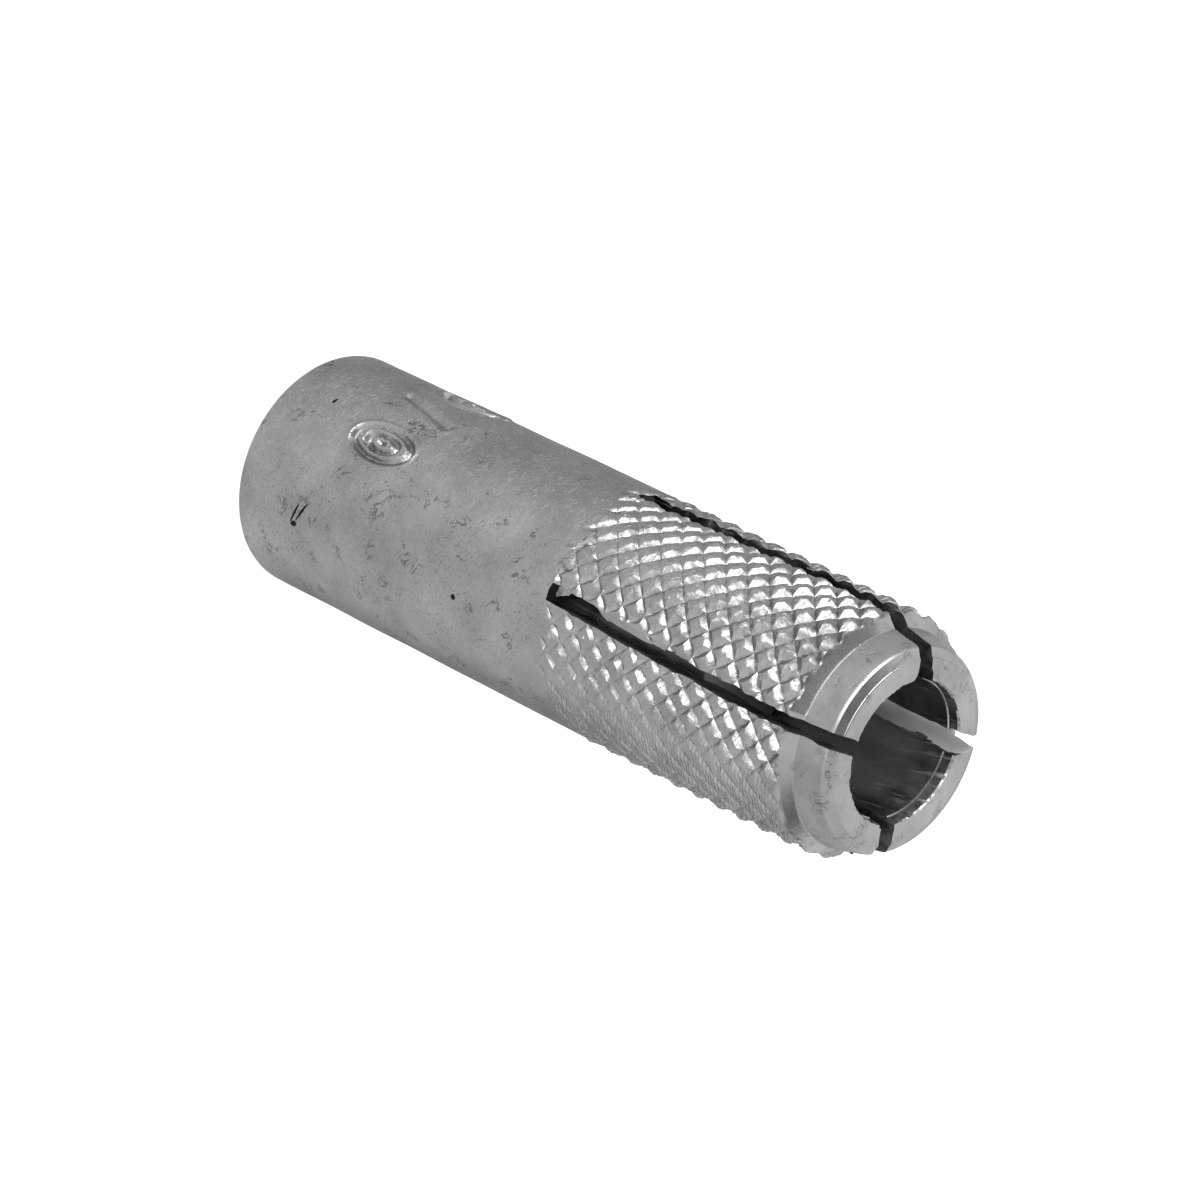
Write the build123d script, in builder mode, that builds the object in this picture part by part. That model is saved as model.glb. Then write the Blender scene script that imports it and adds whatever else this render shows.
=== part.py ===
from build123d import *
import math
import os

# Drop in anchor for a 3/8 in bolt: a slotted, knurled steel sleeve with an expander plug wedged
# inside. Millimetres. The threaded end stands on Z = 0 and the slotted nose points up.

# Sleeve outside
sleeve_diameter = 12.4
sleeve_length = 41.3
foot_chamfer = 0.25

# Knurl: diamonds as long as they are wide, raised a little above the plain shank
knurl_length = 16.7
knurl_count = 26
knurl_rise = 0.1
knurl_depth = 0.42
knurl_run_in = 0.28
knurl_angle = -134.7
knurl_edge_drop = 0.14

# Nose: shoulder, slightly tapered land, chamfer and end face
nose_length = 2.32
shoulder_height = 0.44
land_foot_diameter = 10.98
land_top_diameter = 10.4
nose_chamfer_height = 0.3
face_diameter = 9.3

# Bore, from the threaded end up to the mouth in the nose
thread_minor_diameter = 8.0
thread_length = 15.9
countersink_diameter = 9.7
bore_diameter = 7.6
taper_length = 11.4
relief_diameter = 7.1
throat_diameter = 6.94
throat_depth = 0.65
mouth_diameter = 7.12

# Slots, each sawn on its own by a round saw that leaves a ramp at the slot's end
slot_width = 0.92
slot_rim_chamfer = 0.36
saw_radius = 20.0
saw_reach = 15.5
saw_overrun = 1.0
# direction in degrees, shift off the axis, lean in degrees, height of the ramp at the surface
slot_cuts = [
    (-82.2, 0.0, 1.5, 22.5),
    (-152.0, 0.54, -0.9, 22.1),
    (109.0, -0.24, 0.0, 22.4),
    (29.0, 0.6, 0.0, 22.4),
]

# Expander plug, wedged where the taper starts
plug_clearance = 0.04
plug_length = 11.0
plug_overlap = 1.6
plug_tip_diameter = 6.2
plug_cone_length = 3.4
plug_chamfer = 0.4

# Steps of a few hundredths that keep round and many-sided rims apart where they meet
seam = 0.03

# Places worked out from the sizes above
sleeve_radius = sleeve_diameter / 2
knurl_top = sleeve_length - nose_length
knurl_foot = knurl_top - knurl_length
knurl_tip_radius = sleeve_radius + knurl_rise
knurl_groove_radius = knurl_tip_radius - knurl_depth
knurl_edge_radius = sleeve_radius - knurl_edge_drop
bore_radius = bore_diameter / 2
throat_height = sleeve_length - throat_depth
taper_foot = throat_height - taper_length
plug_radius = bore_radius - plug_clearance
plug_top = taper_foot + plug_overlap
plug_foot = plug_top - plug_length


def ring_points(height, radii):
    """Points of one knurl row, spaced evenly round the sleeve."""
    columns = 2 * knurl_count
    points = []
    for column in range(columns):
        angle = math.radians(knurl_angle + column * 360 / columns)
        radius = radii[column % 2]
        points.append(Vector(radius * math.cos(angle), radius * math.sin(angle), height))
    return points


def knurl_rows():
    """Rows of the knurl from foot to top, with tips and groove crossings taking turns."""
    row_pitch = math.pi * sleeve_diameter / knurl_count / 2
    row_count = int((knurl_length - knurl_run_in) / row_pitch) + 1
    rim_radius = sleeve_radius - seam
    rows = [ring_points(knurl_foot, (rim_radius, rim_radius))]
    for row in range(row_count):
        radii = (knurl_groove_radius, knurl_tip_radius)
        if row % 2:
            radii = (knurl_tip_radius, knurl_groove_radius)
        rows.append(ring_points(knurl_foot + knurl_run_in + row * row_pitch, radii))
    rows.append(ring_points(knurl_top, (knurl_edge_radius, knurl_edge_radius)))
    return rows


def knurl_facets(rows):
    """Two facets for each cell between rows, folded along the groove that crosses it."""
    facets = []
    columns = len(rows[0])
    for row in range(len(rows) - 1):
        for column in range(columns):
            right = (column + 1) % columns
            low_left, low_right = rows[row][column], rows[row][right]
            top_left, top_right = rows[row + 1][column], rows[row + 1][right]
            if (row + column) % 2:
                corners = ((low_left, low_right, top_right), (low_left, top_right, top_left))
            else:
                corners = ((low_left, low_right, top_left), (low_right, top_right, top_left))
            for three in corners:
                facets.append(Face(Wire.make_polygon(three)))
    return facets


def knurl_band():
    """Closed solid of the knurled length, from its foot to its top."""
    rows = knurl_rows()
    facets = knurl_facets(rows)
    facets.append(Face(Wire.make_polygon(rows[0])))
    facets.append(Face(Wire.make_polygon(rows[-1])))
    return Solid(Shell(facets))


def saw_floor(reach):
    """Height of the slot's floor above its start, at a distance from the sleeve's axis."""
    surface = math.sqrt(saw_radius**2 - (saw_reach - sleeve_radius) ** 2)
    return surface - math.sqrt(saw_radius**2 - (saw_reach - reach) ** 2)


def slot_place(direction, shift, lean, start):
    """Plane of one slot, with X along the slot outwards and Z up along the sleeve."""
    turn = math.radians(direction)
    tilt = math.radians(lean)
    outwards = Vector(math.cos(turn), math.sin(turn), 0)
    sideways = Vector(-math.sin(turn), math.cos(turn), 0)
    upwards = Vector(0, 0, 1) * math.cos(tilt) + sideways * math.sin(tilt)
    middle = (start + sleeve_length) / 2
    origin = sideways * -shift + upwards * (start - middle) + Vector(0, 0, middle)
    return Plane(origin=origin, x_dir=outwards, z_dir=upwards)


# Saw cut with a pointed rim, starting half way out to the bore wall and passing out through it.
# It is as tall as the sleeve, so it always leaves through the nose.
inner_reach = throat_diameter / 2 / 2
outer_reach = sleeve_radius + saw_overrun
middle_reach = (inner_reach + outer_reach) / 2
with BuildPart() as slot_cutter:
    with BuildSketch(Plane.XZ):
        with BuildLine():
            floor = ThreePointArc(
                (inner_reach, saw_floor(inner_reach)),
                (middle_reach, saw_floor(middle_reach)),
                (outer_reach, saw_floor(outer_reach)),
            )
            Polyline(
                floor @ 1,
                (outer_reach, sleeve_length),
                (inner_reach, sleeve_length),
                floor @ 0,
            )
        make_face()
    extrude(amount=slot_width / 2, both=True)
    chamfer(slot_cutter.edges().filter_by(GeomType.CIRCLE), length=slot_rim_chamfer)

# Sleeve: turned shank and nose, rolled knurl, drilled and tapered bore, four sawn slots
shoulder_top_radius = knurl_edge_radius - seam
land_foot = knurl_top + shoulder_height
land_top = sleeve_length - nose_chamfer_height
countersink_depth = (countersink_diameter - thread_minor_diameter) / 2
thread_end = thread_length + (thread_minor_diameter - bore_diameter) / 2
with BuildPart() as sleeve:
    with BuildSketch(Plane.XZ):
        with BuildLine():
            Polyline(
                (0, 0),
                (sleeve_radius - foot_chamfer, 0),
                (sleeve_radius, foot_chamfer),
                (sleeve_radius, knurl_foot),
                (0, knurl_foot),
                close=True,
            )
        make_face()
    revolve(axis=Axis.Z)
    add(knurl_band())
    with BuildSketch(Plane.XZ):
        with BuildLine():
            Polyline(
                (0, knurl_top),
                (shoulder_top_radius, knurl_top),
                (land_foot_diameter / 2, land_foot),
                (land_top_diameter / 2, land_top),
                (face_diameter / 2, sleeve_length),
                (0, sleeve_length),
                close=True,
            )
        make_face()
    revolve(axis=Axis.Z)
    with BuildSketch(Plane.XZ):
        with BuildLine():
            Polyline(
                (0, 0),
                (countersink_diameter / 2, 0),
                (thread_minor_diameter / 2, countersink_depth),
                (thread_minor_diameter / 2, thread_length),
                (bore_radius, thread_end),
                (bore_radius, taper_foot),
                (relief_diameter / 2, throat_height),
                (throat_diameter / 2, throat_height),
                (mouth_diameter / 2, sleeve_length),
                (0, sleeve_length),
                close=True,
            )
        make_face()
    revolve(axis=Axis.Z, mode=Mode.SUBTRACT)
    with Locations(*[slot_place(*cut) for cut in slot_cuts]):
        add(slot_cutter.part, mode=Mode.SUBTRACT)
sleeve.part.label = "sleeve"

# Expander plug: a turned pin with a blunt cone that points at the nose
with BuildPart() as expander_plug:
    with BuildSketch(Plane.XZ):
        with BuildLine():
            Polyline(
                (0, plug_foot),
                (plug_radius - plug_chamfer, plug_foot),
                (plug_radius, plug_foot + plug_chamfer),
                (plug_radius, plug_top - plug_cone_length),
                (plug_tip_diameter / 2, plug_top),
                (0, plug_top),
                close=True,
            )
        make_face()
    revolve(axis=Axis.Z)
expander_plug.part.label = "expander_plug"

os.makedirs("parts", exist_ok=True)
export_step(sleeve.part, "parts/sleeve.step")
export_step(expander_plug.part, "parts/expander_plug.step")
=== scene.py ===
"""Finished look of a drop in anchor: knurled, slotted, zinc-plated sleeve with its wedge plug."""

import math
from contextlib import contextmanager
from typing import NamedTuple

import bmesh
import bpy
import numpy as np
from bpy.props import FloatProperty, FloatVectorProperty, IntProperty, PointerProperty
from mathutils import Matrix, Vector


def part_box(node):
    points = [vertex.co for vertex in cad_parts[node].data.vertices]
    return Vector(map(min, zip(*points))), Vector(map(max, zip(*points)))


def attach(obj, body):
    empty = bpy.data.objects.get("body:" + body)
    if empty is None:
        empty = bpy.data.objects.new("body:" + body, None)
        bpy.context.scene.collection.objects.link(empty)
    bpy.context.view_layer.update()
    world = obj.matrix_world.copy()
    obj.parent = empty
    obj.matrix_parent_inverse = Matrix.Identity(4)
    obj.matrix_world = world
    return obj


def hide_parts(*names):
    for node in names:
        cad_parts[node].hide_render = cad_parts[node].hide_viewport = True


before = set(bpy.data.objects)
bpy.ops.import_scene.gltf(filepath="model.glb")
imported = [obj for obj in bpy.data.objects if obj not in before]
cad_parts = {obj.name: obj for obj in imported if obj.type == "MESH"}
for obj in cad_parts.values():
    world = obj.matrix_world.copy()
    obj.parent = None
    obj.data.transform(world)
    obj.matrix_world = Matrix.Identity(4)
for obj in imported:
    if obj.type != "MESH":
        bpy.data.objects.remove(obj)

bl_info = {
    "name": "Drop in anchor",
    "version": (1, 0, 0),
    "blender": (4, 5, 0),
    "location": "View3D > Sidebar > Anchor",
    "description": "Builds the finished sleeve and plug of a drop in anchor on its CAD frame",
    "category": "Mesh",
}

MM = 0.001

# The CAD sleeve gives the length and the tip radius of the knurl
SLEEVE_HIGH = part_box("sleeve")[1]
SLEEVE_LENGTH = SLEEVE_HIGH.z
PLUG_LOW, PLUG_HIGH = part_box("expander_plug")

# Numbers of the sleeve's three materials
ZINC, BARE, MATT = 0, 1, 2


class Slot(NamedTuple):
    """Place of one saw cut in degrees and metres, and how it differs from a straight one."""

    direction: float
    shift: float
    lean: float
    start: float
    rim: float
    bow: float = 0.0
    ledge: float = 0.0
    inner_round: float = 0.12 * MM
    low_turn: float = 0.0
    high_turn: float = 0.0
    material: int = BARE


class Pit(NamedTuple):
    """Nick in the shank: where it is, its size and its turn off the sleeve's axis."""

    azimuth: float
    height: float
    length: float
    width: float
    turn: float


class Card(NamedTuple):
    """Grey card overhead: its middle and its size."""

    name: str
    x: float
    y: float
    width: float
    depth: float


SLOTS = (
    Slot(-82.2, 0.0, 1.5, 22.48 * MM, 0.06 * MM, bow=0.1 * MM, ledge=0.34 * MM),
    Slot(-152.0, 0.42 * MM, -0.9, 21.85 * MM, 0.5 * MM, bow=-0.22 * MM, inner_round=0.7 * MM),
    Slot(
        109.0,
        -0.29 * MM,
        0.0,
        22.4 * MM,
        0.36 * MM,
        inner_round=0.02 * MM,
        low_turn=7.0,
        high_turn=13.0,
        material=MATT,
    ),
    Slot(29.0, 0.6 * MM, 0.0, 22.4 * MM, 0.36 * MM),
)

# Deep nicks that stand out on the shank
PITS = (
    Pit(-64.0, 4.45 * MM, 1.4 * MM, 0.14 * MM, 66.0),
    Pit(-65.8, 4.95 * MM, 1.5 * MM, 0.13 * MM, 58.0),
    Pit(-58.6, 4.45 * MM, 0.5 * MM, 0.3 * MM, 20.0),
    Pit(-120.9, 3.31 * MM, 0.4 * MM, 0.2 * MM, 80.0),
    Pit(-61.9, 16.49 * MM, 0.35 * MM, 0.3 * MM, 0.0),
)
PIT_DEPTH = 0.09 * MM

# Stamped signs on the shank: centres of two rings, both ends of the bar between them, and the
# heights between which the shank is stamped
RING_CENTRES = ((-111.6, 8.0 * MM), (-166.5, 8.5 * MM))
BAR_ENDS = ((-144.6, 6.2 * MM), (-136.2, 10.1 * MM))
STAMPED = (5.2 * MM, 11 * MM)

# Fine bevels of the knurl's upper edge, the mouth and the throat
EDGE_BEVEL = 0.045 * MM
MOUTH_BEVEL = 0.1 * MM
RING_BEVEL = 0.045 * MM

# Fineness of the meshes: columns of the plug, steps of a thread's turn, rows of a saw cut, cuts
# of the chip in the front slot, and cuts of the stamped shank, at first of its upright edges only
PLUG_COLUMNS = 96
THREAD_STEPS = 72
SAW_ROWS = 100
CHIP_CUTS = 7
SHANK_CUTS = ((7, True), (1, False))

# Angles over which an edge stays sharp
SLEEVE_CREASE = math.radians(22)
PLUG_CREASE = math.radians(32)

# Radius that the flat patterns are laid round
PATTERN_RADIUS = 6.2 * MM

# Heights where the plating's finish changes: foot face, shank and shoulder
FOOT_FACE = 0.05 * MM
SHANK_TOP = 23 * MM
SHOULDER = 38.6 * MM

# Heights between which the knurl has ribs, and shares of the radius towards +X where they show up
RIBBED = (23.2 * MM, 38.9 * MM)
RIBBED_SIDE = ((0.55, 0.0), (0.85, 1.0))

# Shares of the sleeve's height between which the sawn and bored steel turns from near black, partly
# oil and partly painted shade deep in the bore, the slots and the nicks, to clean; the matt wall
# from its painted light deep inside to darker at the nose; and the bore from lighter grey to dark;
# and the radius that the bore's lighter grey reaches
OIL_AND_SHADE_END = ((0.556, 0.0), (0.59, 1.0))
PAINTED_MATT_FADE = ((0.955, 0.0), (0.985, 1.0))
BORE_GREY_DEPTH = ((0.87, 0.8), (0.95, 0.0))
BORE_GREY_REACH = 3.85 * MM

# Painted glow of the floor, seen only in metal, which paints its reflections lighter or darker by
# direction from the sleeve: degrees from -Y towards +X, and level. The first is for the floor
# beside the foot, whose low levels at the sides paint the foot's shade, the last for the floor far
# away.
FOOT_GLOW = (
    (-100, 0.0), (-69, 0.16), (-44, 0.32), (-30, 0.57), (-19, 0.75), (5, 0.65),
    (32, 0.57), (57, 0.7), (70, 0.5), (93, 0.16), (110, 0.0),
)
NEAR_GLOW = (
    (-140, 0.0), (-110, 0.12), (-70, 0.38), (-30, 0.74), (0, 0.67),
    (30, 0.57), (70, 0.66), (95, 0.56), (130, 0.02),
)
FAR_GLOW = (
    (-140, 0.36), (-115, 0.33), (-85, 0.35), (-60, 0.52), (95, 0.66), (130, 0.62), (150, 0.4),
)

# Distances in metres over which the first glow turns into the second, and that into the last
GLOW_CHANGES = (((0.0085, 0.0), (0.0135, 1.0)), ((0.04, 0.0), (0.09, 1.0)))

# Directions from the sleeve to the two soft boxes, and the cards overhead
KEY_DIRECTION = (-0.5, -0.76, 0.36)
SIDE_DIRECTION = (-0.9, -0.39, 0.19)
CARDS = (Card("left_card", -0.45, -0.14, 1.1, 0.5), Card("right_card", 0.8, 0.25, 0.7, 0.7))


# Settings


def length(name, description, default):
    """Property with a length, whose default is given here in millimetres and kept in metres."""
    return FloatProperty(
        name=name, description=description, default=default * MM, unit="LENGTH", precision=6
    )


def number(name, description, default):
    """Property with a plain number."""
    return FloatProperty(name=name, description=description, default=default)


def angle(name, description, default):
    """Property with an angle in radians, shown in the scene's units."""
    return FloatProperty(name=name, description=description, default=default, subtype="ANGLE")


def grey_metal(name, description, level):
    """Property with a colour, which is a grey by default."""
    return FloatVectorProperty(
        name=name, description=description, default=(level, level, level), subtype="COLOR"
    )


class SleeveSettings(bpy.types.PropertyGroup):
    """Turned outside of the sleeve."""

    radius: length("Radius", "Radius of the plain shank", 6.2)
    foot_round: length("Foot rounding", "Rounding of the foot's outer edge", 0.27)
    row_height: length("Row height", "Height of the shank's mesh rows", 0.9)
    waviness: length("Waviness", "Depth of the shank's soft unevenness", 0.012)


class KnurlSettings(bpy.types.PropertyGroup):
    """Rolled diamond knurl."""

    count: IntProperty(name="Count", description="Grooves round the sleeve", default=26)
    steps: IntProperty(name="Steps", description="Mesh steps in half a pitch", default=6)
    first_angle: angle("First angle", "Direction of the first crossing", math.radians(-134.7))
    foot: length("Foot", "Height where the knurl starts", 22.28)
    run_in: length("Run in", "Height from the foot to the first crossing", 0.28)
    lead: length("Lead", "Height below the foot where faint marks begin", 1.2)
    tilt: length("Tilt", "Rise of the first full row from -X to the axis", 0.95)
    top: length("Top", "Height of the shoulder's outer edge", 38.98)
    tip_radius: length("Tip radius", "Radius at the tips", 6.3)
    flank_slope: number("Flank slope", "Rise over width", 0.93)
    crest: number("Crest", "Steep share of a worn flank", 0.36)
    crest_gain: number("Crest gain", "What the sharp side adds near the nose", 0.34)
    crest_slope: number("Crest slope", "Slope of the worn tips beside the flanks' one", 0.28)
    sharp_side: angle("Sharp side", "Direction pressed hardest", math.radians(-130.0))
    shallow_side: angle("Shallow side", "Direction hardly pressed", math.radians(-34.0))
    worn_press: number("Worn press", "Depth of the knurl on its shallow side", 0.45)
    soft_set: number("Soft set", "Depth of the shallower set of grooves", 0.5)
    scallop: length("Scallop", "Depth pressed between the rows on the +X side", 0.16)
    edge_radius: length("Edge radius", "Radius where the shoulder starts", 6.06)
    roughening: length("Roughening", "Unevenness of the rolled faces", 0.012)


class NoseSettings(bpy.types.PropertyGroup):
    """Stepped nose above the knurl."""

    shoulder_height: length("Shoulder height", "Height of the sloped shoulder", 0.44)
    land_foot_radius: length("Land foot", "Radius at the foot of the land", 5.49)
    land_top_radius: length("Land top", "Radius at the top of the land", 5.2)
    chamfer_height: length("Chamfer height", "Height of the nose chamfer", 0.3)
    face_radius: length("Face radius", "Outer radius of the end face", 4.65)


class BoreSettings(bpy.types.PropertyGroup):
    """Bore from the threaded end to the mouth."""

    minor_radius: length("Minor radius", "Radius at the thread's crests", 4.0)
    major_radius: length("Major radius", "Radius at the thread's roots", 4.72)
    pitch: length("Pitch", "Pitch of the 3/8-16 thread", 25.4 / 16)
    thread_length: length("Thread length", "Depth of the threaded bore", 15.9)
    countersink_radius: length("Countersink", "Radius at the foot", 4.85)
    bore_radius: length("Bore radius", "Radius of the plain bore", 3.8)
    taper_foot: length("Taper foot", "Height where the taper starts", 29.25)
    throat_height: length("Throat height", "Height of the throat", 40.65)
    relief_radius: length("Relief radius", "Radius just below the throat", 3.55)
    throat_radius: length("Throat radius", "Radius of the throat", 3.47)
    mouth_radius: length("Mouth radius", "Radius at the mouth", 3.56)


class SlotSettings(bpy.types.PropertyGroup):
    """Saw cuts that part the fingers."""

    width: length("Width", "Width of a saw cut", 0.92)
    overrun: length("Overrun", "How far the saw stands proud of the sleeve", 1.0)
    saw_radius: length("Saw radius", "Radius of the saw", 20.0)
    saw_reach: length("Saw reach", "Distance from the axis to the saw's axis", 15.5)
    waviness: length("Waviness", "Unevenness of the sawn walls", 0.04)
    ledge_foot: length("Ledge foot", "Height where a torn ledge starts", 25.0)
    ledge_end: length("Ledge end", "Height where it joins the rim", 28.5)
    ledge_depth: length("Ledge depth", "Depth of the ledge under the rim", 0.22)
    burr: length("Burr", "Height of the burr beside the slots", 0.06)
    jag: length("Jag", "Jaggedness of the slots' rims", 0.03)
    smear: number("Smear", "How much the saw smeared the knurl beside it", 0.4)


class StampSettings(bpy.types.PropertyGroup):
    """Stamped signs on the shank."""

    ring_width: length("Ring width", "Half size round the sleeve", 0.9)
    ring_height: length("Ring height", "Half size along the sleeve", 1.95)
    groove: length("Groove", "Half width of a stamped line", 0.15)
    depth: length("Depth", "Depth of a stamped line", 0.2)
    lip: length("Lip", "Height of the lips beside a line", 0.085)
    bar_depth: length("Bar depth", "Depth of the bar between the rings", 0.17)


class PlugSettings(bpy.types.PropertyGroup):
    """Wedge plug inside the bore."""

    tip_radius: length("Tip radius", "Radius of the blunt tip", 3.1)
    cone_length: length("Cone length", "Length of the blunt cone", 3.4)
    edge: length("Edge", "Size of the broken edges", 0.4)


class FinishSettings(bpy.types.PropertyGroup):
    """Colours of the metals."""

    zinc: grey_metal("Zinc", "Zinc plating", 0.3)
    zinc_dark: grey_metal("Dark zinc", "Stains and nicks", 0.09)
    bare: grey_metal("Bare steel", "Oily sawn and bored", 0.16)
    plug: grey_metal("Plug steel", "Turned steel", 0.2)


class StageSettings(bpy.types.PropertyGroup):
    """Floor, lamps and camera."""

    camera_distance: length("Camera distance", "From the sleeve's middle", 270.9)
    aim_height: length("Aim height", "Height the camera turns about", 19.57)
    elevation: angle("Elevation", "Camera above the floor", 0.7155)
    roll: angle("Roll", "Camera turned about its own axis", 2.0286)
    turn: angle("Turn", "Camera turned sideways", -0.0004)
    tip: angle("Tip", "Camera turned upwards", 0.0021)
    lens: number("Lens", "Focal length in millimetres", 165.9)
    key_width: length("Key width", "Width of the soft box", 760)
    key_height: length("Key height", "Height of the soft box", 380)
    key_distance: length("Key distance", "From the sleeve to the soft box", 600)
    side_width: length("Side width", "Width of the soft box on the left", 260)
    side_height: length("Side height", "Height of the soft box on the left", 150)
    key_level: number("Key level", "Radiance of the soft box", 3.3)
    ambient: number("Ambient", "Soft light from all round", 0.5)
    surround: number("Surround", "World as metal sees it", 1.4)
    card_height: length("Card height", "Height of the grey card overhead", 450)


# General modelling helpers


def deselect_all():
    """Nothing is selected or active before a new piece is started."""
    if bpy.context.object and bpy.context.object.mode != "OBJECT":
        bpy.ops.object.mode_set(mode="OBJECT")
    bpy.ops.object.select_all(action="DESELECT")


def pick(obj):
    """Makes one object the selected and active one."""
    deselect_all()
    obj.select_set(True)
    bpy.context.view_layer.objects.active = obj


def added(name, add, **options):
    """New object from an operator that adds one, with nothing else selected."""
    deselect_all()
    add(**options)
    obj = bpy.context.object
    obj.name = name
    return obj


@contextmanager
def edit_mode(obj):
    """Edit mode of one object, for as long as the block lasts."""
    pick(obj)
    bpy.ops.object.mode_set(mode="EDIT")
    yield
    bpy.ops.object.mode_set(mode="OBJECT")


def select_whole():
    """Selects all of the mesh that is being edited."""
    bpy.ops.mesh.select_all(action="SELECT")


def face_outwards():
    """Turns all faces of the closed mesh that is being edited outwards."""
    select_whole()
    bpy.ops.mesh.normals_make_consistent(inside=False)


def vertex_array(obj):
    """Vertex places of an object as rows of an array."""
    places = np.zeros(len(obj.data.vertices) * 3)
    obj.data.vertices.foreach_get("co", places)
    return places.reshape(-1, 3)


def set_vertices(obj, places):
    """Moves the vertices of an object to the rows of an array."""
    obj.data.vertices.foreach_set("co", places.astype(np.float32).ravel())
    obj.data.update()


def radii(places):
    """Distances of places from the sleeve's axis."""
    return np.hypot(places[:, 0], places[:, 1])


def set_radii(obj, places, scale):
    """Moves the vertices of an object to places whose distances from the axis are scaled."""
    places[:, :2] *= scale[:, None]
    set_vertices(obj, places)


def chain(name, points):
    """Open line of edges through points, extruded vertex by vertex. It is left in edit mode."""
    obj = added(name, bpy.ops.mesh.primitive_plane_add, size=MM, location=points[0])
    bpy.ops.object.transform_apply(location=True, rotation=False, scale=False)
    bpy.ops.object.mode_set(mode="EDIT")
    bpy.ops.mesh.merge(type="CENTER")
    for start, end in zip(points, points[1:]):
        step = Vector(end) - Vector(start)
        bpy.ops.mesh.extrude_vertices_move(TRANSFORM_OT_translate={"value": step})
    select_whole()
    return obj


def close_chain():
    """Joins the two ends of the open line that is being edited."""
    mesh = bmesh.from_edit_mesh(bpy.context.object.data)
    for vertex in mesh.verts:
        vertex.select_set(len(vertex.link_edges) == 1)
    mesh.select_flush(False)
    bmesh.update_edit_mesh(bpy.context.object.data)
    bpy.ops.mesh.edge_face_add()
    select_whole()


def turned(name, profile, columns, first_angle):
    """Solid of revolution from (radius, height) pairs, closed unless they start on the axis."""
    across = Vector((math.cos(first_angle), math.sin(first_angle), 0))
    up = Vector((0, 0, 1))
    obj = chain(name, [across * radius + up * height for radius, height in profile])
    if profile[0][0] > 0:
        close_chain()
    bpy.ops.mesh.spin(
        steps=columns, angle=math.tau, center=(0, 0, 0), axis=(0, 0, 1), use_auto_merge=True
    )
    select_whole()
    bpy.ops.mesh.remove_doubles(threshold=0.001 * MM)
    face_outwards()
    bpy.ops.object.mode_set(mode="OBJECT")
    return obj


def combine(obj, tool, operation):
    """Cuts tool from obj, or joins it on, and removes tool."""
    pick(obj)
    bpy.ops.object.modifier_add(type="BOOLEAN")
    modifier = obj.modifiers[-1]
    modifier.operation = operation
    modifier.solver = "MANIFOLD"
    modifier.object = tool
    bpy.ops.object.modifier_apply(modifier=modifier.name)
    bpy.data.objects.remove(tool, do_unlink=True)


def rise(value, start, width):
    """0 below a start, 1 past a width above it, and a soft ramp between."""
    share = np.clip((value - start) / width, 0, 1)
    return share * share * (3 - 2 * share)


def hump(offset, width):
    """1 at no offset, and falling off softly over a width to each side."""
    return np.exp(-((offset / width) ** 2))


def soft_noise(places, scale, seed):
    """Soft noise from -1 to 1 at each place, as a sum of a few turned waves."""
    random = np.random.default_rng(seed)
    total = np.zeros(len(places))
    waves = 9
    for _ in range(waves):
        direction = random.normal(size=3)
        direction *= math.tau * scale * random.uniform(0.6, 1.4) / np.linalg.norm(direction)
        total += np.sin(places @ direction + random.uniform(0, math.tau))
    return total / math.sqrt(waves)


def angle_between(azimuth, middle):
    """Signed difference of angles in radians, at most half a turn."""
    return np.mod(azimuth - middle + math.pi, math.tau) - math.pi


# Sleeve


def shank_profile(sleeve, knurl, bore):
    """Outline from the bore's foot over the foot ring and up the plain shank."""
    bend = sleeve.foot_round
    fine = 0.02 * MM
    points = [
        (bore.minor_radius, bore.countersink_radius - bore.minor_radius),
        (bore.countersink_radius - fine, fine),
        (bore.countersink_radius + fine, 0.0),
    ]
    for degrees in range(0, 90, 20):
        turn = math.radians(degrees)
        points.append((sleeve.radius - bend + bend * math.sin(turn), bend - bend * math.cos(turn)))
    top = knurl.foot - knurl.lead
    rows = round((top - bend) / sleeve.row_height)
    return points + [(sleeve.radius, bend + (top - bend) * row / rows) for row in range(rows)]


def knurl_pitch(knurl, sleeve):
    """Half the distance between grooves, the same along the sleeve and round it."""
    return math.pi * sleeve.radius / knurl.count


def knurl_profile(knurl, sleeve):
    """Outline points of the knurled length, before its relief."""
    step = knurl_pitch(knurl, sleeve) / knurl.steps
    start = knurl.foot + knurl.run_in
    points = [(sleeve.radius, knurl.foot - knurl.lead)]
    row = -int((knurl.run_in + knurl.lead) / step)
    while start + row * step < knurl.top - step:
        points.append((sleeve.radius, start + row * step))
        row += 1
    return points + [(knurl.edge_radius, knurl.top - EDGE_BEVEL)]


def nose_profile(knurl, nose, bore):
    """Outline of the shoulder, land, chamfer and end face, in fine steps beside their corners."""
    edge = (knurl.edge_radius, knurl.top + EDGE_BEVEL)
    land_foot = (nose.land_foot_radius, knurl.top + nose.shoulder_height)
    land_top = (nose.land_top_radius, SLEEVE_LENGTH - nose.chamfer_height)
    land_middle = [(low + high) / 2 for low, high in zip(land_foot, land_top)]
    face = (nose.face_radius, SLEEVE_LENGTH)
    face_middle = ((nose.face_radius + bore.mouth_radius) / 2, SLEEVE_LENGTH)
    steps = (
        (edge, -0.07, 0.0),
        (edge, -0.1, 0.024),
        (land_foot, 0.09, -0.065),
        (land_foot, 0.05, -0.03),
        (land_foot, 0.012, 0.02),
        (land_foot, 0.0, 0.07),
        (land_foot, -0.015, 0.16),
        (land_middle, 0.0, 0.0),
        (land_top, 0.035, -0.16),
        (land_top, 0.012, -0.06),
        (land_top, -0.05, 0.035),
        (face, 0.1, -0.08),
        (face, 0.06, -0.06),
        (face, 0.035, -0.02),
        (face, -0.01, 0.0),
        (face_middle, 0.0, 0.0),
    )
    return [(corner[0] + out * MM, corner[1] + up * MM) for corner, out, up in steps]


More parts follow.
